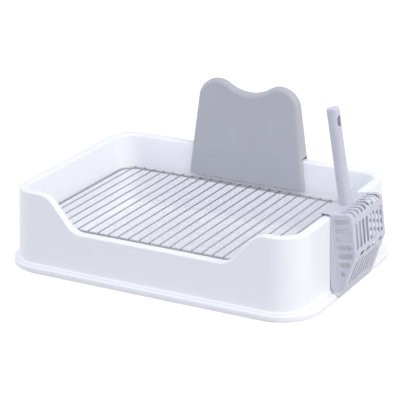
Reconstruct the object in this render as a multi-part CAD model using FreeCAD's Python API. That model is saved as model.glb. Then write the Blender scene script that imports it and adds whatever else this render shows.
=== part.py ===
import FreeCAD, Part
import math
import os

# Puppy potty tray: a deep pan with a foot flange, a lift-off wall ring with a low entrance,
# a wire grate, a splash guard hooked over the back wall and a slotted scoop hooked over the
# right wall. Millimetres, +Z up, the entrance faces -Y, the origin is under the pan's middle.

V = FreeCAD.Vector
UP = V(0, 0, 1)

# Foot flange and pan
FOOT_HALF_X = 293.5
FOOT_HALF_Y = 208.0
FOOT_CORNER_R = 78.0
FOOT_BOTTOM_Z = 1.0
FOOT_TOP_Z = 13.0
FOOT_TOP_ROUND = 5.0
FOOT_LIP_ROUND = 2.0
REST_GAP = 0.3
SKIN = 3.0
PAN_HALF_X = 246.0
PAN_HALF_Y = 162.5
PAN_CORNER_R = 28.0
PAN_DRAFT = 4.0
PAN_FLOOR_Z = 9.0
PAN_FLOOR_ROUND = 16.0
LEDGE_HALF_X = 262.0
LEDGE_HALF_Y = 182.5
LEDGE_CORNER_R = 40.0
LEDGE_TOP_Z = 78.0
LEDGE_HEM = 12.0
LOCATING_RIB = 8.0

# Rubber pads under the pan
PAD_R = 15.0
PAD_TOP_Z = 4.0
PAD_SPACING_X = 225.0
PAD_SPACING_Y = 140.0
PAD_BOSS_R = 18.0
PAD_BOSS_BOTTOM_Z = 2.5
PAD_GROOVE_R = 9.0
PAD_GROOVE_WIDTH = 2.0
PAD_GROOVE_DEPTH = 0.8

# Wall ring
WALL_TOP_HALF_X = 274.5
WALL_TOP_HALF_Y = 195.0
WALL_CORNER_R = 51.0
WALL_TOP_Z = 142.5
WALL_DRAFT = 4.0
WALL_FIT = 0.4
WALL_FLARE_R = 3.6
WALL_FLARE_PLATE = 0.8
WALL_FLARE_EDGE = 0.2
RIM_WIDTH = 17.0
RIM_OUTER_ROUND = 2.5
RIM_INNER_ROUND = 5.0
CROWN_TILT = 0.4
DRAFTED_TILT = 0.01
ENTRANCE_Z = 83.0
ENTRANCE_MID_X = 3.0
ENTRANCE_SLOPE = math.radians(49.3)
ENTRANCE_SLOPE_TOP_X = 198.2
ENTRANCE_ROUND = 36.0

# Wire grate
RING_HALF_X = 250.0
RING_HALF_Y = 168.0
RING_CORNER_R = 30.0
RING_WIRE_R = 1.5
BAR_R = 1.15
BAR_PITCH = 20.0
BAR_COUNT = 24
BAR_OVERHANG = 0.6
WELD_DEPTH = 0.3

# Splash guard
GUARD_WALL = 2.5
GUARD_BOTTOM_Z = 88.0
GUARD_MID_X = -1.3
GUARD_BOTTOM_HALF_X = 117.3
LOBE_X = 62.3
LOBE_Z = 234.1
LOBE_R = 38.0
VALLEY_Z = 253.1
GUARD_FRONT_Y = 170.3
GUARD_REAR_Y = 199.8
GUARD_TOP_FRONT_Y = 176.5
GUARD_TOP_REAR_Y = 191.5
GUARD_BEND_Z = 148.0
GUARD_LEG_BOTTOM_Z = 110.0
GUARD_FRONT_ROUND = 8.5
FACING = 0.8
SIDEWAYS = 0.3
GUARD_REAR_ROUND = 4.0
GUARD_SLOT_GAP = 0.5
GUARD_SADDLE_GAP = 4.5
GUARD_REST_GAP = 0.5
GUARD_RIB_X = (-60.0, 0.0, 60.0)
GUARD_RIB_THICK = 2.0
GUARD_RIB_ROOT = 0.2
GUARD_RIB_TOP_Z = 166.0

# Scoop
SCOOP_WALL = 1.6
SCOOP_MID_Y = -2.0
SCOOP_HALF_Y = 64.0
SCOOP_FOLD_X = 273.0
SCOOP_FOLD_Z = 147.4
SCOOP_TILT = 9.7
SCOOP_TOP_X = 312.0
SCOOP_BEND_X = 321.0
SCOOP_BEND_Z = 82.0
LIP_KNEE_X = 301.3
LIP_KNEE_Z = 19.0
SCOOP_TIP_X = 294.9
SCOOP_TIP_Z = 5.3
MOUTH_TOP_X = 275.2
MOUTH_TOP_Z = 143.0
MOUTH_MID_X = 278.5
MOUTH_MID_Z = 34.0
MOUTH_LOW_X = 282.0
MOUTH_LOW_Z = 15.6
CHIN_X = 289.3
CHIN_Z = 14.6
CHIN_END_X = 295.0
CHIN_END_Z = 10.6
SCOOP_TOP_ROUND = 10.0
SCOOP_BEND_ROUND = 14.0
SCOOP_SIDE_ROUND = 2.0
LIP_CORNER_RADII = {-1: 2.0, 1: 16.0}
LIP_CUT_DEPTH = 25.0
FLARE_TOP_OUT = 1.5
FLARE_MID_OUT = 3.2
FLARE_LOW_OUT = 3.5
FLARE_CHIN_OUT = 9.0
FLARE_TIP_OUT = 5.0
FLARE_ROOT_X = 288.3
FLARE_ROOT_Z = 38.0
FLARE_END_Z = 14.0
FLARE_EDGE = 1.2
HOOK_INNER_X = 252.2
HOOK_LENGTH = 25.5
HOOK_HALF_Y = 60.0
HOOK_LIP_BOTTOM_Z = 126.0
HOOK_CORNER_R = 8.0
HOOK_RIB_X = 260.0
HOOK_RIB_LENGTH = 14.0
HOOK_RIB_THICK = 3.0
HOOK_RIB_OFFSETS = (-45.0, 0.0, 45.0)
HOOK_REST_GAP = 0.4

# Sifting slots
SLOT_COUNT = 8
SLOT_CUT_DEPTH = 40.0
SLOT_PITCH = 14.4
SLOT_WIDTH = 8.0
SLOT_LENGTH = 46.0
SLOT_MID_Z = 112.0
EDGE_SLOT_START_X = 290.5
EDGE_SLOT_BOTTOM_Z = 145.5
LOW_SLOT_PITCH = 12.8
LOW_SLOT_WIDTH = 5.6
LOW_SLOT_LENGTH = 43.0
LOW_SLOT_MID_Z = 45.0
BEND_SLOT_COUNT = 4
BEND_SLOT_PITCH = 25.0
BEND_SLOT_WIDTH = 8.0
BEND_SLOT_LENGTH = 17.0
BEND_SLOT_Z = 78.0
BEND_SLOT_MID_Y = 3.0
SIDE_SLOT_COUNT = 5
SIDE_SLOT_HEIGHT = 8.9
SIDE_SLOT_LENGTH = 27.0
SIDE_SLOT_TOP_X = 294.4
SIDE_SLOT_TOP_Z = 137.8
SIDE_SLOT_PITCH_Z = 14.8
SIDE_SLOT_DRIFT_X = 2.2
LOWER_SIDE_SLOT = (302.4, 63.0, 19.0)
LOWEST_SIDE_HOLE = (299.6, 47.0)

# Scoop handle
HANDLE_R = 11.0
HANDLE_BORE_R = 8.8
HANDLE_FOOT_X = 273.2
HANDLE_TILT = 9.8
HANDLE_LENGTH = 170.0
HANDLE_END_SLANT = 4.0
HANDLE_END_DROP = 4.0
HANDLE_END_ROUND = 4.0
HANDLE_END_WALL = 12.0
SPIGOT_R = 8.7
SPIGOT_LENGTH = 24.0
HANG_HOLE_WIDTH = 13.5
HANG_HOLE_LENGTH = 19.5
HANG_HOLE_FROM_END = 27.5

# Reach past a surface for anything that cuts or joins through it, and the overlap of joined forms
REACH = 10.0
FAR_REACH = 60.0
OVERLAP = 1.0
CLOSE = 1e-3


def rounded_wire(half_x, half_y, radius, z):
    """Closed rectangle with round corners, flat at height z."""
    edges = []
    corners = ((1, 1, 0), (-1, 1, 90), (-1, -1, 180), (1, -1, 270))
    for sign_x, sign_y, start in corners:
        centre = V(sign_x * (half_x - radius), sign_y * (half_y - radius), z)
        edges.append(Part.makeCircle(radius, centre, UP, start, start + 90))
    wire_edges = []
    for index, arc in enumerate(edges):
        following = edges[(index + 1) % 4]
        wire_edges.append(arc)
        wire_edges.append(Part.makeLine(arc.Vertexes[-1].Point, following.Vertexes[0].Point))
    return Part.Wire(wire_edges)


def rounded_prism(half_x, half_y, radius, z_low, z_high):
    """Upright block with round corners."""
    face = Part.Face(rounded_wire(half_x, half_y, radius, z_low))
    return face.extrude(V(0, 0, z_high - z_low))


def drafted_block(low, high):
    """Block between two rounded rectangles, each (half_x, half_y, radius, z)."""
    return Part.makeLoft([rounded_wire(*low), rounded_wire(*high)], True, True)


def prism_from_points(points, direction):
    """Solid of a flat closed outline pushed along a direction."""
    closed = list(points) + [points[0]]
    return Part.Face(Part.makePolygon(closed)).extrude(direction)


def edges_at_height(shape, z, keep=None):
    """Edges that lie flat at height z, all of them or those that keep accepts."""
    found = []
    for edge in shape.Edges:
        box = edge.BoundBox
        flat = abs(box.ZMin - z) < CLOSE and abs(box.ZMax - z) < CLOSE
        if flat and (keep is None or keep(edge)):
            found.append(edge)
    return found


def face_tilt(face):
    """How far a face looks up, from -1 to 1, at the middle of its range."""
    u0, u1, v0, v1 = face.ParameterRange
    return face.normalAt((u0 + u1) / 2, (v0 + v1) / 2).z


def shared_edges(faces, others):
    """Edges that two groups of faces have in common."""
    own_edges = [edge for face in faces for edge in face.Edges]
    other_edges = [edge for face in others for edge in face.Edges]
    return [edge for edge in own_edges if any(edge.isSame(other) for other in other_edges)]


def checked(shape, name):
    """One clean solid, or a stop with the name of the piece."""
    solid = shape.removeSplitter()
    if not solid.isValid() or len(solid.Solids) != 1:
        raise RuntimeError(name + " is not one valid solid")
    return solid.Solids[0]


def wall_half_sizes(z):
    """Half sizes of the wall ring's outside at height z: it widens towards its foot."""
    spread = WALL_DRAFT * (WALL_TOP_Z - z) / (WALL_TOP_Z - FOOT_TOP_Z)
    return WALL_TOP_HALF_X + spread, WALL_TOP_HALF_Y + spread, WALL_CORNER_R + spread


def foot_form(inset, z_low):
    """Rounded plate of the foot flange, or the hollow under it when inset."""
    top = FOOT_TOP_Z - inset
    block = rounded_prism(FOOT_HALF_X - inset, FOOT_HALF_Y - inset, FOOT_CORNER_R - inset, z_low, top)
    return block.makeFillet(FOOT_TOP_ROUND - inset, edges_at_height(block, top))


def pan_form(offset, z_low, z_high):
    """Tapered bowl of the pan, pushed out by offset."""
    low = (PAN_HALF_X - PAN_DRAFT + offset, PAN_HALF_Y - PAN_DRAFT + offset, PAN_CORNER_R + offset, z_low)
    high = (PAN_HALF_X + offset, PAN_HALF_Y + offset, PAN_CORNER_R + offset, z_high)
    block = drafted_block(low, high)
    return block.makeFillet(PAN_FLOOR_ROUND + offset, edges_at_height(block, z_low))


def pad_places():
    """Centres of the five pads: one near each corner and one in the middle."""
    corners = [(x, y) for x in (-PAD_SPACING_X, PAD_SPACING_X) for y in (-PAD_SPACING_Y, PAD_SPACING_Y)]
    return corners + [(0.0, 0.0)]


def make_base_pan():
    """Pan, its ledge for the grate, and the foot flange, in one moulding."""
    foot = foot_form(0, FOOT_BOTTOM_Z)
    foot = foot.makeFillet(FOOT_LIP_ROUND, edges_at_height(foot, FOOT_BOTTOM_Z))
    shell = foot.cut(foot_form(SKIN, FOOT_BOTTOM_Z - OVERLAP))
    hem_z = LEDGE_TOP_Z - LEDGE_HEM
    ledge = rounded_prism(LEDGE_HALF_X, LEDGE_HALF_Y, LEDGE_CORNER_R, hem_z, LEDGE_TOP_Z)
    ledge_core = rounded_prism(
        LEDGE_HALF_X - SKIN, LEDGE_HALF_Y - SKIN, LEDGE_CORNER_R - SKIN, hem_z - OVERLAP, LEDGE_TOP_Z - SKIN)
    shell = shell.fuse(ledge.cut(ledge_core))
    shell = shell.fuse(pan_form(SKIN, PAN_FLOOR_Z - SKIN, LEDGE_TOP_Z))
    rib_top = FOOT_TOP_Z + LOCATING_RIB
    half_x, half_y, radius = wall_half_sizes(rib_top)
    gap = SKIN + WALL_FIT
    rib_outer = rounded_prism(half_x - gap, half_y - gap, radius - gap, FOOT_TOP_Z - OVERLAP, rib_top)
    gap = gap + SKIN
    rib_inner = rounded_prism(
        half_x - gap, half_y - gap, radius - gap, FOOT_TOP_Z - 2 * OVERLAP, rib_top + OVERLAP)
    shell = shell.fuse(rib_outer.cut(rib_inner))
    for x, y in pad_places():
        boss_height = PAN_FLOOR_Z - SKIN / 2 - PAD_BOSS_BOTTOM_Z
        shell = shell.fuse(Part.makeCylinder(PAD_BOSS_R, boss_height, V(x, y, PAD_BOSS_BOTTOM_Z)))
    shell = shell.cut(pan_form(0, PAN_FLOOR_Z, LEDGE_TOP_Z + OVERLAP))
    for x, y in pad_places():
        shell = shell.cut(Part.makeCylinder(PAD_R, PAD_TOP_Z, V(x, y, 0)))
    return checked(shell, "base_pan")


def make_pad(x, y):
    """Rubber pad with one round grip groove in its sole."""
    pad = Part.makeCylinder(PAD_R, PAD_TOP_Z, V(x, y, 0))
    groove = Part.makeCylinder(PAD_GROOVE_R + PAD_GROOVE_WIDTH / 2, PAD_GROOVE_DEPTH, V(x, y, 0))
    core = Part.makeCylinder(PAD_GROOVE_R - PAD_GROOVE_WIDTH / 2, PAD_GROOVE_DEPTH, V(x, y, 0))
    groove = groove.cut(core)
    return checked(pad.cut(groove), "foot_pad")


def entrance_cutter(inset):
    """Air over the low entrance: two S curves joined by the low sill, pushed down by inset."""
    half_turn = ENTRANCE_SLOPE / 2
    tangent = ENTRANCE_ROUND * math.tan(half_turn)
    drop = WALL_TOP_Z - ENTRANCE_Z
    top_x = ENTRANCE_SLOPE_TOP_X + tangent
    sill_x = ENTRANCE_SLOPE_TOP_X - drop / math.tan(ENTRANCE_SLOPE) - tangent
    top_z = WALL_TOP_Z - ENTRANCE_ROUND
    sill_z = ENTRANCE_Z + ENTRANCE_ROUND
    top_r = ENTRANCE_ROUND - inset
    sill_r = ENTRANCE_ROUND + inset
    y = -2 * WALL_TOP_HALF_Y

    def on_top_arc(side, angle):
        x = ENTRANCE_MID_X + side * (top_x - top_r * math.sin(angle))
        return V(x, y, top_z + top_r * math.cos(angle))

    def on_sill_arc(side, angle):
        x = ENTRANCE_MID_X + side * (sill_x + sill_r * math.sin(angle))
        return V(x, y, sill_z - sill_r * math.cos(angle))

    edges = []
    for side in (-1, 1):
        start, middle, end = [on_top_arc(side, turn) for turn in (0, half_turn, ENTRANCE_SLOPE)]
        edges.append(Part.Arc(start, middle, end).toShape())
        low_end, low_middle, low_start = [on_sill_arc(side, turn) for turn in (0, half_turn, ENTRANCE_SLOPE)]
        edges.append(Part.makeLine(end, low_start))
        edges.append(Part.Arc(low_start, low_middle, low_end).toShape())
        above = V(start.x, y, WALL_TOP_Z + FAR_REACH)
        edges.append(Part.makeLine(start, above))
    edges.append(Part.makeLine(on_sill_arc(-1, 0), on_sill_arc(1, 0)))
    high_z = WALL_TOP_Z + FAR_REACH
    edges.append(Part.makeLine(V(ENTRANCE_MID_X - top_x, y, high_z), V(ENTRANCE_MID_X + top_x, y, high_z)))
    outline = Part.Wire(Part.__sortEdges__(edges))
    return Part.Face(outline).extrude(V(0, WALL_TOP_HALF_Y + FAR_REACH, 0))


def rim_form(inset, z_low):
    """Wall ring as a thick rounded band, or the hollow inside it when inset."""
    low_x, low_y, low_r = wall_half_sizes(z_low)
    low = (low_x - inset, low_y - inset, low_r - inset, z_low)
    high = (WALL_TOP_HALF_X - inset, WALL_TOP_HALF_Y - inset, WALL_CORNER_R - inset, WALL_TOP_Z - inset)
    reach = RIM_WIDTH - inset
    opening = rounded_prism(
        WALL_TOP_HALF_X - reach, WALL_TOP_HALF_Y - reach, WALL_CORNER_R - reach, z_low - OVERLAP,
        WALL_TOP_Z + OVERLAP)
    band = drafted_block(low, high).cut(opening).cut(entrance_cutter(inset))
    crown = [face for face in band.Faces if face_tilt(face) > CROWN_TILT]
    outer = [face for face in band.Faces if DRAFTED_TILT < face_tilt(face) < CROWN_TILT]
    inner = [face for face in band.Faces if abs(face_tilt(face)) < DRAFTED_TILT]
    if RIM_OUTER_ROUND > inset:
        band = band.makeFillet(RIM_OUTER_ROUND - inset, shared_edges(crown, outer))
        crown = [face for face in band.Faces if face_tilt(face) > CROWN_TILT]
        inner = [face for face in band.Faces if abs(face_tilt(face)) < DRAFTED_TILT]
    return band.makeFillet(RIM_INNER_ROUND - inset, shared_edges(crown, inner))


def make_wall_surround():
    """Thin wall ring folded over at its rim, open below, with its low entrance and flared foot."""
    bottom = FOOT_TOP_Z + REST_GAP
    ring = rim_form(0, bottom)
    half_x, half_y, radius = wall_half_sizes(bottom)
    spread = WALL_FLARE_R + WALL_FLARE_EDGE
    plate_top = bottom + WALL_FLARE_PLATE
    plate = rounded_prism(half_x + spread, half_y + spread, radius + spread, bottom, plate_top)
    ring = ring.fuse(plate.cut(rounded_prism(
        half_x - SKIN, half_y - SKIN, radius - SKIN, bottom - OVERLAP, plate_top + OVERLAP)))
    low_x, low_y, low_r = wall_half_sizes(plate_top)
    foot_line = edges_at_height(ring, plate_top, lambda edge: near_wall(edge, low_x, low_y, low_r))
    ring = ring.makeFillet(WALL_FLARE_R, foot_line)
    ring = ring.cut(rim_form(SKIN, bottom - REACH))
    ledge_room = rounded_prism(
        LEDGE_HALF_X + WALL_FIT, LEDGE_HALF_Y + WALL_FIT, LEDGE_CORNER_R + WALL_FIT, bottom - REACH,
        LEDGE_TOP_Z + WALL_FIT)
    return checked(ring.cut(ledge_room), "wall_surround")


def near_wall(edge, half_x, half_y, radius):
    """Whether an edge lies on the rounded outline of the wall and not on the flare's rim."""
    point = edge.valueAt((edge.FirstParameter + edge.LastParameter) / 2)
    over_x = max(0.0, abs(point.x) - (half_x - radius))
    over_y = max(0.0, abs(point.y) - (half_y - radius))
    return abs(math.hypot(over_x, over_y) - radius) < OVERLAP


def make_grate_ring():
    """Heavy wire bent to a rounded rectangle and welded shut."""
    z = LEDGE_TOP_Z + REST_GAP + RING_WIRE_R
    spine = rounded_wire(RING_HALF_X, RING_HALF_Y, RING_CORNER_R, z)
    solids = []
    for edge in spine.Edges:
        start = edge.valueAt(edge.FirstParameter)
        section = Part.Wire(Part.makeCircle(RING_WIRE_R, start, edge.tangentAt(edge.FirstParameter)))
        solids.append(Part.Wire([edge]).makePipeShell([section], True, False))
    ring = solids[0].multiFuse(solids[1:])
    return checked(ring, "grate_ring")


def make_grate_bar(index):
    """One straight wire across the ring, welded on top of it at both ends."""
    z = LEDGE_TOP_Z + REST_GAP + 2 * RING_WIRE_R + BAR_R - WELD_DEPTH
    x = -RING_HALF_X + BAR_PITCH * (index + 1)
    half = RING_HALF_Y + BAR_OVERHANG
    return Part.makeCylinder(BAR_R, 2 * half, V(x, -half, z), V(0, 1, 0))


def guard_outline(inset, y):
    """Front outline of the guard: tapered sides and two lobes with a valley between them."""
    lobe_r = LOBE_R - inset
    valley_drop = VALLEY_Z - LOBE_Z
    valley_r = (LOBE_X ** 2 + valley_drop ** 2 - LOBE_R ** 2) / (2 * (LOBE_R - valley_drop))
    valley_centre = VALLEY_Z + valley_r
    reach = LOBE_R + valley_r
    touch_x = LOBE_X * (1 - lobe_r / reach)
    touch_z = LOBE_Z + (valley_centre - LOBE_Z) * lobe_r / reach
    slope = math.atan2(GUARD_BOTTOM_Z - LOBE_Z, GUARD_BOTTOM_HALF_X - LOBE_X)
    lean = slope + math.acos(LOBE_R / math.hypot(GUARD_BOTTOM_HALF_X - LOBE_X, GUARD_BOTTOM_Z - LOBE_Z))
    side_x = LOBE_X + lobe_r * math.cos(lean)
    side_z = LOBE_Z + lobe_r * math.sin(lean)
    run = (side_z - GUARD_BOTTOM_Z + inset) / math.cos(lean)
    foot_x = side_x + run * math.sin(lean)
    crown = (lean + math.atan2(valley_centre - LOBE_Z, -LOBE_X)) / 2
    crown_x = LOBE_X + lobe_r * math.cos(crown)
    crown_z = LOBE_Z + lobe_r * math.sin(crown)
    valley_low = VALLEY_Z - inset
    edges = []
    for side in (-1, 1):
        foot = V(side * foot_x, y, GUARD_BOTTOM_Z - inset)
        shoulder = V(side * side_x, y, side_z)
        crest = V(side * crown_x, y, crown_z)
        touch = V(side * touch_x, y, touch_z)
        edges.append(Part.makeLine(foot, shoulder))
        edges.append(Part.Arc(shoulder, crest, touch).toShape())
    edges.append(Part.Arc(V(-touch_x, y, touch_z), V(0, y, valley_low), V(touch_x, y, touch_z)).toShape())
    low_z = GUARD_BOTTOM_Z - inset
    edges.append(Part.makeLine(V(-foot_x, y, low_z), V(foot_x, y, low_z)))
    return Part.Wire(Part.__sortEdges__(edges))


def guard_form(inset):
    """Wedge of the guard with rounded front and rear edges, or its hollow when inset."""
    start_y = GUARD_FRONT_Y - REACH
    prism = Part.Face(guard_outline(inset, start_y)).extrude(V(0, FAR_REACH, 0))
    top_z = LOBE_Z + LOBE_R + REACH
    low_z = GUARD_BOTTOM_Z - REACH
    front = GUARD_FRONT_Y + inset
    rear = GUARD_REAR_Y - inset
    x = -2 * GUARD_BOTTOM_HALF_X
    profile = [
        V(x, front, low_z), V(x, front, GUARD_BEND_Z), V(x, GUARD_TOP_FRONT_Y + inset, top_z),
        V(x, GUARD_TOP_REAR_Y - inset, top_z), V(x, rear, GUARD_BEND_Z), V(x, rear, low_z)]
    wedge = prism.common(prism_from_points(profile, V(-2 * x, 0, 0)))
    rounds = ((-1, GUARD_FRONT_ROUND), (1, GUARD_REAR_ROUND))
    mid_y = (GUARD_FRONT_Y + GUARD_REAR_Y) / 2
    for looks, radius in rounds:
        flats = [face for face in wedge.Faces if face_look_y(face) * looks > FACING]
        rims = [face for face in wedge.Faces
                if abs(face_look_y(face)) < SIDEWAYS and face_tilt(face) > -FACING]
        shared = [edge for edge in shared_edges(flats, rims) if (edge.CenterOfMass.y - mid_y) * looks > 0]
        wedge = wedge.makeFillet(radius - inset, shared)
    return wedge


def face_look_y(face):
    """How far a face looks along +Y, from -1 to 1, at the middle of its range."""
    u0, u1, v0, v1 = face.ParameterRange
    return face.normalAt((u0 + u1) / 2, (v0 + v1) / 2).y


def make_splash_guard():
    """Hollow shell open below: a front leg inside the wall, a rear leg outside it."""
    shell = guard_form(0).cut(guard_form(GUARD_WALL))
    wide = 2 * GUARD_BOTTOM_HALF_X
    slot_front = WALL_TOP_HALF_Y - RIM_WIDTH - GUARD_SLOT_GAP
    slot_rear = GUARD_REAR_Y - GUARD_WALL
    slot_top = WALL_TOP_Z + GUARD_SADDLE_GAP
    slot = Part.makeBox(2 * wide, slot_rear - slot_front, slot_top, V(-wide, slot_front, 0))
    below_leg = Part.makeBox(2 * wide, FAR_REACH, GUARD_LEG_BOTTOM_Z, V(-wide, slot_rear - OVERLAP, 0))
    shell = shell.cut(slot).cut(below_leg)
    hollow = guard_form(GUARD_WALL - GUARD_RIB_ROOT)
    for x in GUARD_RIB_X:
        rib_bottom = WALL_TOP_Z + GUARD_REST_GAP
        rib = Part.makeBox(
            GUARD_RIB_THICK, FAR_REACH, GUARD_RIB_TOP_Z - rib_bottom,
            V(x - GUARD_RIB_THICK / 2, GUARD_FRONT_Y - REACH, rib_bottom))
        shell = shell.fuse(rib.common(hollow))
    shell.translate(V(GUARD_MID_X, 0, 0))
    return checked(shell, "splash_guard")


def scoop_top_z(x):
    """Height of the scoop's top face: level over the rim, then rising outwards from the fold."""
    return SCOOP_FOLD_Z + math.tan(math.radians(SCOOP_TILT)) * max(0.0, x - SCOOP_FOLD_X)


def lip_x(z):
    """Outside of the scoop's lip at height z, below the knee of its floor."""
    return SCOOP_TIP_X + (LIP_KNEE_X - SCOOP_TIP_X) * (z - SCOOP_TIP_Z) / (LIP_KNEE_Z - SCOOP_TIP_Z)


def scoop_block(y_low, y_high):
    """Outside of the basket from its side outline: slanting top, bend, floor and lip."""
    points = [
        V(SCOOP_FOLD_X, y_low, SCOOP_FOLD_Z), V(SCOOP_TOP_X, y_low, scoop_top_z(SCOOP_TOP_X)),
        V(SCOOP_BEND_X, y_low, SCOOP_BEND_Z), V(LIP_KNEE_X, y_low, LIP_KNEE_Z),
        V(SCOOP_TIP_X, y_low, SCOOP_TIP_Z), V(CHIN_END_X, y_low, CHIN_END_Z), V(CHIN_X, y_low, CHIN_Z),
        V(MOUTH_LOW_X, y_low, MOUTH_LOW_Z), V(MOUTH_MID_X, y_low, MOUTH_MID_Z),
        V(MOUTH_TOP_X, y_low, MOUTH_TOP_Z)]
    block = prism_from_points(points, V(0, y_high - y_low, 0))
    block = block.makeFillet(SCOOP_TOP_ROUND, edges_along_y(block, SCOOP_TOP_X, scoop_top_z(SCOOP_TOP_X)))
    return block.makeFillet(SCOOP_BEND_ROUND, edges_along_y(block, SCOOP_BEND_X, SCOOP_BEND_Z))


def scoop_hollow(y_low, y_high):
    """Inside of the basket, open towards the tray wall and past the lip."""
    open_x = SCOOP_FOLD_X - REACH
    top_x = SCOOP_TOP_X - SCOOP_WALL
    bend_x = SCOOP_BEND_X - SCOOP_WALL
    knee_x = LIP_KNEE_X - SCOOP_WALL
    end_z = SCOOP_TIP_Z - REACH
    end_x = lip_x(end_z) - SCOOP_WALL
    points = [
        V(open_x, y_low, SCOOP_FOLD_Z - SCOOP_WALL), V(SCOOP_FOLD_X, y_low, SCOOP_FOLD_Z - SCOOP_WALL),
        V(top_x, y_low, scoop_top_z(top_x) - SCOOP_WALL), V(bend_x, y_low, SCOOP_BEND_Z),
        V(knee_x, y_low, LIP_KNEE_Z), V(end_x, y_low, end_z), V(open_x, y_low, end_z)]
    block = prism_from_points(points, V(0, y_high - y_low, 0))
    top_edges = edges_along_y(block, top_x, scoop_top_z(top_x) - SCOOP_WALL)
    block = block.makeFillet(SCOOP_TOP_ROUND - SCOOP_WALL, top_edges)
    return block.makeFillet(SCOOP_BEND_ROUND - SCOOP_WALL, edges_along_y(block, bend_x, SCOOP_BEND_Z))


def edges_along_y(shape, x, z):
    """Straight edges that run along Y at the given x and z."""
    found = []
    for edge in shape.Edges:
        middle = edge.CenterOfMass
        if abs(middle.x - x) < CLOSE and abs(middle.z - z) < CLOSE and edge.BoundBox.YLength > REACH:
            found.append(edge)
    return found


def slot_cutter(length, width, depth, turns, position):
    """Round-ended slot, long along X and cutting along Z, then turned and moved into place."""
    half = (length - width) / 2
    cutter = Part.makeCylinder(width / 2, depth, V(half, 0, -depth / 2))
    if half > 0:
        cutter = cutter.fuse(Part.makeBox(2 * half, width, depth, V(-half, -width / 2, -depth / 2)))
        cutter = cutter.fuse(Part.makeCylinder(width / 2, depth, V(-half, 0, -depth / 2)))
    for axis, angle in turns:
        cutter.rotate(V(0, 0, 0), axis, angle)
    cutter.translate(position)
    return cutter


def face_slot_cutters():
    """Slots through the top, the outer face, the bend and the floor of the basket."""
    upright = [(V(0, 1, 0), 90)]
    across = [(UP, 90), (V(0, 1, 0), 90)]
    depth = SLOT_CUT_DEPTH
    cutters = []
    for index in range(SLOT_COUNT):
        step = index - (SLOT_COUNT - 1) / 2
        y = SCOOP_MID_Y + SLOT_PITCH * step
        cutters.append(slot_cutter(SLOT_LENGTH, SLOT_WIDTH, depth, upright, V(SCOOP_BEND_X, y, SLOT_MID_Z)))
        start = V(EDGE_SLOT_START_X, y, EDGE_SLOT_BOTTOM_Z)
        over_edge = Part.makeBox(FAR_REACH, SLOT_WIDTH, depth, start - V(0, SLOT_WIDTH / 2, 0))
        cutters.append(over_edge.fuse(Part.makeCylinder(SLOT_WIDTH / 2, depth, start)))
        low_place = V(SCOOP_BEND_X - REACH, SCOOP_MID_Y + LOW_SLOT_PITCH * step, LOW_SLOT_MID_Z)
        cutters.append(slot_cutter(LOW_SLOT_LENGTH, LOW_SLOT_WIDTH, depth, upright, low_place))
    for index in range(BEND_SLOT_COUNT):
        step = index - (BEND_SLOT_COUNT - 1) / 2
        place = V(SCOOP_BEND_X, BEND_SLOT_MID_Y + BEND_SLOT_PITCH * step, BEND_SLOT_Z)
        cutters.append(slot_cutter(BEND_SLOT_LENGTH, BEND_SLOT_WIDTH, depth, across, place))
    return cutters


def side_slot_cutters():
    """Slanting slots and one round hole through both side cheeks."""
    places = []
    for index in range(SIDE_SLOT_COUNT):
        x = SIDE_SLOT_TOP_X + SIDE_SLOT_DRIFT_X * index
        places.append((x, SIDE_SLOT_TOP_Z - SIDE_SLOT_PITCH_Z * index, SIDE_SLOT_LENGTH))
    places.append(LOWER_SIDE_SLOT)
    places.append(LOWEST_SIDE_HOLE + (SIDE_SLOT_HEIGHT,))
    turns = [(V(1, 0, 0), 90), (V(0, 1, 0), -SCOOP_TILT)]
    depth = 2 * (SCOOP_HALF_Y + REACH)
    return [slot_cutter(length, SIDE_SLOT_HEIGHT, depth, turns, V(x, SCOOP_MID_Y, z))
            for x, z, length in places]


def lip_corner_cutter(side):
    """Material to take off one corner of the lip, square to the lip."""
    back = V(LIP_KNEE_X - SCOOP_TIP_X, 0, LIP_KNEE_Z - SCOOP_TIP_Z).normalize()
    out = V(back.z, 0, -back.x)
    radius = LIP_CORNER_RADII[side]
    corner_y = SCOOP_MID_Y + side * (SCOOP_HALF_Y + FLARE_TIP_OUT)
    tip = V(SCOOP_TIP_X, corner_y, SCOOP_TIP_Z)
    centre = tip + back * radius - V(0, side * radius, 0) - out * LIP_CUT_DEPTH
    along = back * -(radius + REACH)
    aside = V(0, side * (radius + REACH), 0)
    depth = LIP_CUT_DEPTH + REACH
    block = prism_from_points([centre, centre + along, centre + along + aside, centre + aside], out * depth)
    return block.cut(Part.makeCylinder(radius, depth, centre, out))


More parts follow.
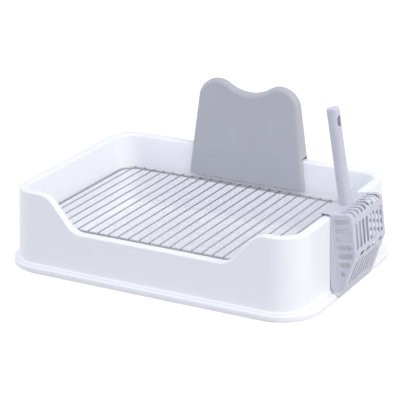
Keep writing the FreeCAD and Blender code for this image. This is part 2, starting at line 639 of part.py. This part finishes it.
def mouth_flare(side):
    """Lip of one cheek that turns outwards towards the tray wall, widest at the bottom."""
    cheek_y = SCOOP_MID_Y + side * SCOOP_HALF_Y
    inner_y = cheek_y - side * SCOOP_WALL / 2
    mouth = [
        (MOUTH_TOP_X, MOUTH_TOP_Z, FLARE_TOP_OUT), (MOUTH_MID_X, MOUTH_MID_Z, FLARE_MID_OUT),
        (MOUTH_LOW_X, MOUTH_LOW_Z, FLARE_LOW_OUT), (CHIN_X, CHIN_Z, FLARE_CHIN_OUT),
        (CHIN_END_X, CHIN_END_Z, FLARE_CHIN_OUT), (SCOOP_TIP_X, SCOOP_TIP_Z, FLARE_TIP_OUT)]
    root = [
        (lip_x(FLARE_END_Z), FLARE_END_Z), (FLARE_ROOT_X, FLARE_ROOT_Z),
        (MOUTH_TOP_X + FLARE_EDGE, MOUTH_TOP_Z)]
    edge = [V(x, cheek_y + side * out, z) for x, z, out in mouth]
    edge_in = [V(x, inner_y, z) for x, z, out in mouth]
    end, middle, top = [V(x, cheek_y, z) for x, z in root]
    end_in, middle_in, top_in = [V(x, inner_y, z) for x, z in root]
    outlines = [edge_in + [end_in, middle_in, top_in]]
    for first in range(len(edge) - 1):
        outlines.append([edge[first], edge[first + 1], edge_in[first + 1], edge_in[first]])
    outlines.append([edge[-1], end, end_in, edge_in[-1]])
    outlines.append([end, middle, middle_in, end_in])
    outlines.append([middle, top, top_in, middle_in])
    outlines.append([top, edge[0], edge_in[0], top_in])
    outlines.append([edge[0], middle, top])
    outlines.append([edge[0], edge[1], middle])
    outlines.append([edge[1], edge[2], middle])
    outlines.append([edge[2], end, middle])
    for first in range(2, len(edge) - 1):
        outlines.append([edge[first], edge[first + 1], end])
    faces = [Part.Face(Part.makePolygon(points + [points[0]])) for points in outlines]
    solid = Part.Solid(Part.Shell(faces))
    if solid.Volume < 0:
        solid.reverse()
    return solid


def hook_plate():
    """Plate that reaches over the rim, its down-turned lip and three rest ribs."""
    low_y = SCOOP_MID_Y - HOOK_HALF_Y
    under_z = SCOOP_FOLD_Z - SCOOP_WALL
    plate = Part.makeBox(HOOK_LENGTH, 2 * HOOK_HALF_Y, SCOOP_WALL, V(HOOK_INNER_X, low_y, under_z))
    corners = [edge for edge in plate.Edges
               if edge.BoundBox.ZLength > OVERLAP and abs(edge.CenterOfMass.x - HOOK_INNER_X) < CLOSE]
    plate = plate.makeFillet(HOOK_CORNER_R, corners)
    lip_half = HOOK_HALF_Y - HOOK_CORNER_R
    lip = Part.makeBox(
        SCOOP_WALL, 2 * lip_half, SCOOP_FOLD_Z - HOOK_LIP_BOTTOM_Z,
        V(HOOK_INNER_X, SCOOP_MID_Y - lip_half, HOOK_LIP_BOTTOM_Z))
    plate = plate.fuse(lip)
    rest_z = WALL_TOP_Z + HOOK_REST_GAP
    for offset in HOOK_RIB_OFFSETS:
        corner = V(HOOK_RIB_X, SCOOP_MID_Y + offset - HOOK_RIB_THICK / 2, rest_z)
        height = under_z + SCOOP_WALL / 2 - rest_z
        plate = plate.fuse(Part.makeBox(HOOK_RIB_LENGTH, HOOK_RIB_THICK, height, corner))
    return plate


def handle_frame():
    """Foot point and direction of the handle's axis."""
    tilt = math.radians(HANDLE_TILT)
    return V(HANDLE_FOOT_X, SCOOP_MID_Y, scoop_top_z(HANDLE_FOOT_X)), V(-math.sin(tilt), 0, math.cos(tilt))


def below_scoop_top(depth):
    """Everything under the folded top face of the scoop, or under a face that much lower."""
    far_x = SCOOP_TOP_X + REACH
    near_x = HOOK_INNER_X - REACH
    y = SCOOP_MID_Y - SCOOP_HALF_Y
    floor_z = SCOOP_FOLD_Z - FAR_REACH
    points = [
        V(near_x, y, SCOOP_FOLD_Z - depth), V(SCOOP_FOLD_X, y, SCOOP_FOLD_Z - depth),
        V(far_x, y, scoop_top_z(far_x) - depth), V(far_x, y, floor_z), V(near_x, y, floor_z)]
    return prism_from_points(points, V(0, 2 * SCOOP_HALF_Y, 0))


def make_scoop_basket():
    """Slotted basket with its hook plate, its flared mouth and the spigot for the handle."""
    low_y = SCOOP_MID_Y - SCOOP_HALF_Y
    high_y = SCOOP_MID_Y + SCOOP_HALF_Y
    outer = scoop_block(low_y, high_y)
    cheek_edges = [edge for edge in outer.Edges
                   if edge.BoundBox.YLength < CLOSE and edge.BoundBox.XMax > SCOOP_TOP_X - SCOOP_TOP_ROUND]
    outer = outer.makeFillet(SCOOP_SIDE_ROUND, cheek_edges)
    basket = outer.cut(scoop_hollow(low_y + SCOOP_WALL, high_y - SCOOP_WALL))
    foot, axis = handle_frame()
    spigot = Part.makeCylinder(SPIGOT_R, SPIGOT_LENGTH + REACH, foot - axis * REACH, axis)
    spigot = spigot.cut(below_scoop_top(SCOOP_WALL / 2))
    basket = basket.fuse(hook_plate()).fuse(spigot)
    for side in (-1, 1):
        basket = basket.fuse(mouth_flare(side)).cut(lip_corner_cutter(side))
    for cutter in side_slot_cutters() + face_slot_cutters():
        basket = basket.cut(cutter)
    return checked(basket, "scoop_basket")


def make_scoop_handle():
    """Round tube closed at its slanting end, with an oval hang hole."""
    foot, axis = handle_frame()
    below = foot - axis * REACH
    tube = Part.makeCylinder(HANDLE_R, HANDLE_LENGTH + REACH, below, axis)
    slant = math.radians(HANDLE_TILT + HANDLE_END_SLANT)
    end = foot + axis * (HANDLE_LENGTH - HANDLE_END_DROP)
    reach_side = V(math.cos(slant), 0, math.sin(slant)) * 2 * HANDLE_R
    reach_y = V(0, 2 * HANDLE_R, 0)
    corner = end - reach_side - reach_y
    trim_points = [
        corner, corner + reach_side * 2, corner + reach_side * 2 + reach_y * 2, corner + reach_y * 2]
    tube = tube.cut(prism_from_points(trim_points, V(-math.sin(slant), 0, math.cos(slant)) * 2 * HANDLE_R))
    rim = [edge for edge in tube.Edges if edge.CenterOfMass.z > end.z - HANDLE_R and len(edge.Vertexes) == 1]
    tube = tube.makeFillet(HANDLE_END_ROUND, rim)
    bore_length = HANDLE_LENGTH + REACH - HANDLE_END_WALL
    tube = tube.cut(Part.makeCylinder(HANDLE_BORE_R, bore_length, below, axis))
    tube = tube.cut(below_scoop_top(0))
    turns = [(V(0, 1, 0), 90 - HANDLE_TILT)]
    place = foot + axis * (HANDLE_LENGTH - HANG_HOLE_FROM_END)
    tube = tube.cut(slot_cutter(HANG_HOLE_LENGTH, HANG_HOLE_WIDTH, 4 * HANDLE_R, turns, place))
    return checked(tube, "scoop_handle")


def save(shape, name):
    shape.exportStep(os.path.join("parts", name + ".step"))
    box = shape.BoundBox
    print("%-16s volume %10.0f  x %7.1f %7.1f  y %7.1f %7.1f  z %6.1f %6.1f" % (
        name, shape.Volume, box.XMin, box.XMax, box.YMin, box.YMax, box.ZMin, box.ZMax))


os.makedirs("parts", exist_ok=True)
save(make_base_pan(), "base_pan")
for number, (pad_x, pad_y) in enumerate(pad_places(), 1):
    save(make_pad(pad_x, pad_y), "foot_pad_%d" % number)
save(make_wall_surround(), "wall_surround")
save(make_grate_ring(), "grate_ring")
for number in range(BAR_COUNT):
    save(make_grate_bar(number), "grate_bar_%02d" % (number + 1))
save(make_splash_guard(), "splash_guard")
save(make_scoop_basket(), "scoop_basket")
save(make_scoop_handle(), "scoop_handle")
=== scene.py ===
import math

import bpy
from mathutils import Matrix, Vector


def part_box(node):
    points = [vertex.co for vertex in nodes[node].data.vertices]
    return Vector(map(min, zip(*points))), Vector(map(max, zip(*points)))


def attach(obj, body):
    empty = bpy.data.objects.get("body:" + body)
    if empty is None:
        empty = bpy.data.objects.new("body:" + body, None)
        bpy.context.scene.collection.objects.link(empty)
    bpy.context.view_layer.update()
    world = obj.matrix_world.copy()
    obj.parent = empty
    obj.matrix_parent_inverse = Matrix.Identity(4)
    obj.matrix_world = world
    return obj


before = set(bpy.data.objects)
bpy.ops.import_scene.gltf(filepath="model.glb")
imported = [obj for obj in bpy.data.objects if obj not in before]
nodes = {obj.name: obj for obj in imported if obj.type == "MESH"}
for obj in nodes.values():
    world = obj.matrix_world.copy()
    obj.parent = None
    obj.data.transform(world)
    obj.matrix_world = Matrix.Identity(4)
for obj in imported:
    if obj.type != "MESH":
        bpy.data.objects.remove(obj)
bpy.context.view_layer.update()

# Camera: a long lens at the tray's front right, a little above its rim. Its angle, distance and lens
# come from a fit to the corners of the foot, the rim and the grate in the photograph.
azimuth = math.radians(28.1)
elevation = math.radians(19.7)
distance = 3.276
shift_right = -0.0035
shift_up = 0.1002
lens_mm = 167.04
far_limit = 40.0
back = Vector((math.sin(azimuth) * math.cos(elevation), -math.cos(azimuth) * math.cos(elevation),
               math.sin(elevation)))
right = Vector((math.cos(azimuth), math.sin(azimuth), 0))
up = back.cross(right)
eye = back * distance + right * shift_right + up * shift_up
turn = Matrix((right, up, back)).transposed().to_4x4()
camera = bpy.data.objects.new("camera", bpy.data.cameras.new("camera"))
camera.data.lens = lens_mm
camera.data.clip_end = far_limit
camera.matrix_world = Matrix.Translation(eye) @ turn
bpy.context.scene.collection.objects.link(camera)
bpy.context.scene.camera = camera


# Studio: a seamless sheet of white paper in a cool, evenly lit room, with four round soft boxes. The
# paper and the room turn white only for a ray that looks straight at them, so the object is lit at a
# plain level and its shadow stays on the paper.
def add_node(tree, kind, settings=None, links=None):
    """Add one node; settings go to its properties or input sockets, links join sockets to inputs."""
    node = tree.nodes.new(kind)
    for name, value in (settings or {}).items():
        if isinstance(name, int) or name in node.inputs:
            node.inputs[name].default_value = value
        else:
            setattr(node, name, value)
    for name, socket in (links or {}).items():
        tree.links.new(socket, node.inputs[name])
    return node


def looks_at_background(tree):
    """One where a camera, glossy or transmission ray arrives, zero elsewhere."""
    path = add_node(tree, "ShaderNodeLightPath")
    either = add_node(tree, "ShaderNodeMath", {"operation": "MAXIMUM"},
                      {0: path.outputs["Is Camera Ray"], 1: path.outputs["Is Glossy Ray"]})
    return add_node(tree, "ShaderNodeMath", {"operation": "MAXIMUM"},
                    {0: either.outputs[0], 1: path.outputs["Is Transmission Ray"]}).outputs[0]


def new_material(name):
    """Empty node material and its tree."""
    material = bpy.data.materials.new(name)
    material.use_nodes = True
    material.node_tree.nodes.clear()
    return material, material.node_tree


room_tint = (0.89, 0.935, 1.18, 1)
room_strength = 0.55
plain_white = (1, 1, 1, 1)
world = bpy.data.worlds.new("studio")
world.use_nodes = True
tree = world.node_tree
tree.nodes.clear()
room_light = add_node(tree, "ShaderNodeBackground", {"Color": room_tint, "Strength": room_strength})
white_view = add_node(tree, "ShaderNodeBackground", {"Color": plain_white, "Strength": 1.0})
seen = add_node(tree, "ShaderNodeMixShader", None, {
    0: looks_at_background(tree), 1: room_light.outputs[0], 2: white_view.outputs[0]})
add_node(tree, "ShaderNodeOutputWorld", None, {"Surface": seen.outputs[0]})
bpy.context.scene.world = world

# Matt paper: no gloss at all. It reflects half of the light, and the lift makes up the rest to white.
paper_reflectance = (0.5, 0.5, 0.505, 1)
paper_lift = 0.75
paper, tree = new_material("white_studio_paper")
sheet = add_node(tree, "ShaderNodeBsdfDiffuse", {"Color": paper_reflectance})
lift_strength = add_node(tree, "ShaderNodeMath", {"operation": "MULTIPLY", 1: paper_lift},
                         {0: looks_at_background(tree)})
lift = add_node(tree, "ShaderNodeEmission", {"Color": plain_white},
                {"Strength": lift_strength.outputs[0]})
lifted_sheet = add_node(tree, "ShaderNodeAddShader", None, {0: sheet.outputs[0], 1: lift.outputs[0]})
add_node(tree, "ShaderNodeOutputMaterial", None, {"Surface": lifted_sheet.outputs[0]})

floor_half = 9.0
floor_mesh = bpy.data.meshes.new("studio_floor")
floor_mesh.from_pydata([(-floor_half, -floor_half, 0), (floor_half, -floor_half, 0),
                        (floor_half, floor_half, 0), (-floor_half, floor_half, 0)], [], [(0, 1, 2, 3)])
floor_mesh.materials.append(paper)
floor = bpy.data.objects.new("studio_floor", floor_mesh)
bpy.context.scene.collection.objects.link(floor)

# Each soft box: name, place and diameter in metres, power in watts. All are aimed at the tray.
soft_boxes = (
    ("key_box", (3.2, -0.8, 1.8), 2.6, 62.5),
    ("left_box", (-3.2, -1.0, 1.2), 2.6, 36.8),
    ("front_box", (0.6, -2.6, 2.6), 2.6, 13.2),
    ("top_box", (0.25, 0.1, 1.6), 1.6, 5.2))
soft_box_tint = (1.0, 0.975, 0.87)
aim = Vector((0, 0, 0.08))
for name, spot, diameter, watts in soft_boxes:
    lamp = bpy.data.lights.new(name, "AREA")
    lamp.shape = "DISK"
    lamp.size = diameter
    lamp.energy = watts
    lamp.color = soft_box_tint
    box = bpy.data.objects.new(name, lamp)
    box.location = spot
    box.rotation_euler = (aim - Vector(spot)).to_track_quat("-Z", "Y").to_euler()
    bpy.context.scene.collection.objects.link(box)
bpy.context.scene.view_settings.view_transform = "Standard"


def linear(hex_colour):
    """Linear RGBA of an sRGB hex colour."""
    parts = [int(hex_colour[i:i + 2], 16) / 255 for i in (1, 3, 5)]
    return [p / 12.92 if p <= 0.04045 else ((p + 0.055) / 1.055) ** 2.4 for p in parts] + [1.0]


def noise_scale(feature_mm):
    """Scale of a noise on Object coordinates whose features have a size in millimetres."""
    return 1000 / feature_mm


def give(material, *names):
    """Put a material on the slots of CAD pieces that keep their own shape."""
    for name in names:
        mesh = nodes[name].data
        mesh.materials.clear()
        mesh.materials.append(material)


# The polished mould gives a soft satin sheen. Uneven flow leaves a faint mottle some 70 mm wide, and
# cooling a slight waviness some 110 mm long. The skin's own grain is finer than 0.1 mm and is drawn
# at 0.7 mm, as coarse as it needs to soften the highlights.
flow_mottle_mm = 71.43
cooling_wave_mm = 111.1
skin_grain_mm = 0.7143
white_pp, tree = new_material("white_polypropylene_moulded")
coords = add_node(tree, "ShaderNodeTexCoord")
mottle = add_node(tree, "ShaderNodeTexNoise", {"Scale": noise_scale(flow_mottle_mm), "Detail": 3.0},
                  {"Vector": coords.outputs["Object"]})
tone = add_node(tree, "ShaderNodeMix", {
    "data_type": "RGBA", 6: linear("#F6F7FB"), 7: linear("#F9FAFD")}, {0: mottle.outputs["Fac"]})
wave = add_node(tree, "ShaderNodeTexNoise", {"Scale": noise_scale(cooling_wave_mm), "Detail": 1.0},
                {"Vector": coords.outputs["Object"]})
grain = add_node(tree, "ShaderNodeTexNoise", {"Scale": noise_scale(skin_grain_mm), "Detail": 2.0},
                 {"Vector": coords.outputs["Object"]})
gloss = add_node(tree, "ShaderNodeMapRange", {"To Min": 0.36, "To Max": 0.46},
                 {"Value": mottle.outputs["Fac"]})
wavy = add_node(tree, "ShaderNodeBump", {"Strength": 0.15, "Distance": 0.0004},
                {"Height": wave.outputs["Fac"]})
grained = add_node(tree, "ShaderNodeBump", {"Strength": 0.2, "Distance": 0.0001},
                   {"Height": grain.outputs["Fac"], "Normal": wavy.outputs[0]})
body = add_node(tree, "ShaderNodeBsdfPrincipled", {"IOR": 1.49}, {
    "Base Color": tone.outputs[2], "Roughness": gloss.outputs[0], "Normal": grained.outputs[0]})
add_node(tree, "ShaderNodeOutputMaterial", None, {"Surface": body.outputs[0]})
give(white_pp, "base_pan", "wall_surround")


# Foot pads: five discs of soft grey rubber, pressed into bosses under the pan so that the tray
# doesn't slide. The rubber is dull, with a tooth near 0.1 mm that is drawn at 1.1 mm to show.
pad_tooth_mm = 1.111
pad_rubber, tree = new_material("grey_rubber_pad")
coords = add_node(tree, "ShaderNodeTexCoord")
tooth = add_node(tree, "ShaderNodeTexNoise", {"Scale": noise_scale(pad_tooth_mm), "Detail": 3.0},
                 {"Vector": coords.outputs["Object"]})
bump = add_node(tree, "ShaderNodeBump", {"Strength": 0.4, "Distance": 0.0002},
                {"Height": tooth.outputs["Fac"]})
tone = add_node(tree, "ShaderNodeMix", {
    "data_type": "RGBA", 6: linear("#5C5E63"), 7: linear("#6B6D72")}, {0: tooth.outputs["Fac"]})
body = add_node(tree, "ShaderNodeBsdfPrincipled", {"Roughness": 0.8, "IOR": 1.52},
                {"Base Color": tone.outputs[2], "Normal": bump.outputs[0]})
add_node(tree, "ShaderNodeOutputMaterial", None, {"Surface": body.outputs[0]})
give(pad_rubber, *[name for name in nodes if name.startswith("foot_pad")])


# Grate wires: a heavy ring with thinner bars laid across it, all of bright drawn stainless steel. The
# ring is bent and welded shut. Drawing leaves fine lines along the bars, near 0.05 mm wide, which
# vary the gloss from spot to spot and are drawn at 0.4 mm to show.
draw_line_mm = 0.4
draw_line_stretch = 20.0
steel, tree = new_material("drawn_stainless_wire")
coords = add_node(tree, "ShaderNodeTexCoord")
along_bars = add_node(tree, "ShaderNodeMapping", {"Scale": (1.0, 1 / draw_line_stretch, 1.0)},
                      {"Vector": coords.outputs["Object"]})
draw_lines = add_node(tree, "ShaderNodeTexNoise", {"Scale": noise_scale(draw_line_mm), "Detail": 2.0},
                      {"Vector": along_bars.outputs[0]})
gloss = add_node(tree, "ShaderNodeMapRange", {"To Min": 0.22, "To Max": 0.38},
                 {"Value": draw_lines.outputs["Fac"]})
body = add_node(tree, "ShaderNodeBsdfPrincipled", {"Base Color": linear("#B2B4B8"), "Metallic": 1.0},
                {"Roughness": gloss.outputs[0]})
add_node(tree, "ShaderNodeOutputMaterial", None, {"Surface": body.outputs[0]})
give(steel, *[name for name in nodes if name.startswith("grate")])


# Grate welds: one small squeezed nugget of melted steel where each bar crosses the ring, left by the
# spot welder. The steel has blotches some 4 mm wide, and is duller and browner than the wire.
def node_group(name, inputs):
    """Geometry node group with named inputs, each (name, socket type), and its two end nodes."""
    group = bpy.data.node_groups.new(name, "GeometryNodeTree")
    group.interface.new_socket("Geometry", in_out="OUTPUT", socket_type="NodeSocketGeometry")
    for label, kind in inputs:
        group.interface.new_socket(label, in_out="INPUT", socket_type=kind)
    return group, add_node(group, "NodeGroupInput"), add_node(group, "NodeGroupOutput")


def evaluated_piece(name, group, values):
    """Plain mesh object made by running a node group once with its inputs set."""
    holder = bpy.data.objects.new(name, bpy.data.meshes.new(name))
    bpy.context.scene.collection.objects.link(holder)
    modifier = holder.modifiers.new("build", "NODES")
    modifier.node_group = group
    sockets = {item.name: item.identifier for item in group.interface.items_tree
               if item.in_out == "INPUT"}
    for label, value in values.items():
        modifier[sockets[label]] = value
    bpy.context.view_layer.update()
    depsgraph = bpy.context.evaluated_depsgraph_get()
    shape = bpy.data.meshes.new_from_object(holder.evaluated_get(depsgraph))
    holder.modifiers.remove(modifier)
    holder.data = shape
    shape.name = name
    return holder


heat_blotch_mm = 3.846
weld_steel, tree = new_material("stainless_weld_heat_tinted")
coords = add_node(tree, "ShaderNodeTexCoord")
blotch = add_node(tree, "ShaderNodeTexNoise", {"Scale": noise_scale(heat_blotch_mm), "Detail": 2.0},
                  {"Vector": coords.outputs["Object"]})
tone = add_node(tree, "ShaderNodeMix", {
    "data_type": "RGBA", 6: linear("#8C867B"), 7: linear("#A3A3A6")}, {0: blotch.outputs["Fac"]})
body = add_node(tree, "ShaderNodeBsdfPrincipled", {"Metallic": 1.0, "Roughness": 0.5},
                {"Base Color": tone.outputs[2]})
add_node(tree, "ShaderNodeOutputMaterial", None, {"Surface": body.outputs[0]})

group, given, out = node_group("weld_nuggets", (
    ("Row length", "NodeSocketFloat"), ("Row distance", "NodeSocketFloat"), ("Bars", "NodeSocketInt"),
    ("Nugget radius", "NodeSocketFloat"), ("Weld centre", "NodeSocketVector"),
    ("Least turn", "NodeSocketVector"), ("Most turn", "NodeSocketVector"),
    ("Least squeeze", "NodeSocketVector"), ("Most squeeze", "NodeSocketVector"),
    ("Seed", "NodeSocketInt"), ("Steel", "NodeSocketMaterial")))
crossings = add_node(group, "GeometryNodeMeshGrid", {"Vertices Y": 2}, {
    "Size X": given.outputs["Row length"], "Size Y": given.outputs["Row distance"],
    "Vertices X": given.outputs["Bars"]})
nugget = add_node(group, "GeometryNodeMeshIcoSphere", {"Subdivisions": 2}, {
    "Radius": given.outputs["Nugget radius"]})
turn_about = add_node(group, "FunctionNodeRandomValue", {"data_type": "FLOAT_VECTOR"}, {
    0: given.outputs["Least turn"], 1: given.outputs["Most turn"], "Seed": given.outputs["Seed"]})
squeeze = add_node(group, "FunctionNodeRandomValue", {"data_type": "FLOAT_VECTOR"}, {
    0: given.outputs["Least squeeze"], 1: given.outputs["Most squeeze"],
    "Seed": given.outputs["Seed"]})
spots = add_node(group, "GeometryNodeInstanceOnPoints", None, {
    "Points": crossings.outputs["Mesh"], "Instance": nugget.outputs["Mesh"],
    "Rotation": turn_about.outputs["Value"], "Scale": squeeze.outputs["Value"]})
placed = add_node(group, "GeometryNodeTransform", None, {
    "Geometry": spots.outputs["Instances"], "Translation": given.outputs["Weld centre"]})
real = add_node(group, "GeometryNodeRealizeInstances", None, {"Geometry": placed.outputs["Geometry"]})
smooth = add_node(group, "GeometryNodeSetShadeSmooth", None, {"Geometry": real.outputs["Geometry"]})
dressed = add_node(group, "GeometryNodeSetMaterial", None, {
    "Geometry": smooth.outputs["Geometry"], "Material": given.outputs["Steel"]})
group.links.new(dressed.outputs["Geometry"], out.inputs["Geometry"])

bars = sorted(name for name in nodes if name.startswith("grate_bar"))
first_low, first_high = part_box(bars[0])
last_low, last_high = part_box(bars[-1])
ring_low, ring_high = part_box("grate_ring")
ring_wire = ring_high[2] - ring_low[2]
first_x = (first_low[0] + first_high[0]) / 2
last_x = (last_low[0] + last_high[0]) / 2
nugget_sink = 0.0002
welds = evaluated_piece("grate_weld_nuggets", group, {
    "Row length": last_x - first_x, "Row distance": ring_high[1] - ring_low[1] - ring_wire,
    "Bars": len(bars), "Nugget radius": 0.0017,
    "Weld centre": ((first_x + last_x) / 2, 0.0, ring_high[2] - nugget_sink),
    "Least turn": (0.0, 0.0, -0.4), "Most turn": (0.15, 0.15, 0.4),
    "Least squeeze": (0.92, 0.92, 0.42), "Most squeeze": (1.12, 1.15, 0.52),
    "Seed": 5, "Steel": weld_steel})
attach(welds, "grate")


# Splash guard: a hollow injection moulding in mid-grey polypropylene, hooked over the back wall. The
# face is a soft satin, with a faint flow mottle some 60 mm wide and the same fine skin as the pan's.
guard_mottle_mm = 62.5
grey_pp, tree = new_material("grey_polypropylene_moulded")
coords = add_node(tree, "ShaderNodeTexCoord")
mottle = add_node(tree, "ShaderNodeTexNoise", {"Scale": noise_scale(guard_mottle_mm), "Detail": 3.0},
                  {"Vector": coords.outputs["Object"]})
tone = add_node(tree, "ShaderNodeMix", {
    "data_type": "RGBA", 6: linear("#B1B3BA"), 7: linear("#B7B9C0")}, {0: mottle.outputs["Fac"]})
grain = add_node(tree, "ShaderNodeTexNoise", {"Scale": noise_scale(skin_grain_mm), "Detail": 2.0},
                 {"Vector": coords.outputs["Object"]})
bump = add_node(tree, "ShaderNodeBump", {"Strength": 0.3, "Distance": 0.0001},
                {"Height": grain.outputs["Fac"]})
body = add_node(tree, "ShaderNodeBsdfPrincipled", {"Roughness": 0.42, "IOR": 1.49},
                {"Base Color": tone.outputs[2], "Normal": bump.outputs[0]})
add_node(tree, "ShaderNodeOutputMaterial", None, {"Surface": body.outputs[0]})
give(grey_pp, "splash_guard")


# Scoop: a slotted basket that hooks over the right wall, with a tube handle pushed on its spigot, both
# injection moulded in pale lilac-grey polypropylene. The walls are thin enough for light to spread a
# few millimetres inside them, so the edges of the slots look soft. The flow mottle is 40 mm wide.
scoop_mottle_mm = 40.0
light_spread = 0.003
lilac_pp, tree = new_material("lilac_grey_polypropylene_moulded")
coords = add_node(tree, "ShaderNodeTexCoord")
mottle = add_node(tree, "ShaderNodeTexNoise", {"Scale": noise_scale(scoop_mottle_mm), "Detail": 3.0},
                  {"Vector": coords.outputs["Object"]})
tone = add_node(tree, "ShaderNodeMix", {
    "data_type": "RGBA", 6: linear("#C9CAD4"), 7: linear("#CECFD9")}, {0: mottle.outputs["Fac"]})
grain = add_node(tree, "ShaderNodeTexNoise", {"Scale": noise_scale(skin_grain_mm), "Detail": 2.0},
                 {"Vector": coords.outputs["Object"]})
bump = add_node(tree, "ShaderNodeBump", {"Strength": 0.3, "Distance": 0.0001},
                {"Height": grain.outputs["Fac"]})
body = add_node(tree, "ShaderNodeBsdfPrincipled", {
    "Roughness": 0.4, "IOR": 1.49, "Subsurface Weight": 0.6, "Subsurface Radius": (1.0, 1.0, 1.0),
    "Subsurface Scale": light_spread}, {"Base Color": tone.outputs[2], "Normal": bump.outputs[0]})
add_node(tree, "ShaderNodeOutputMaterial", None, {"Surface": body.outputs[0]})
give(lilac_pp, "scoop_basket", "scoop_handle")
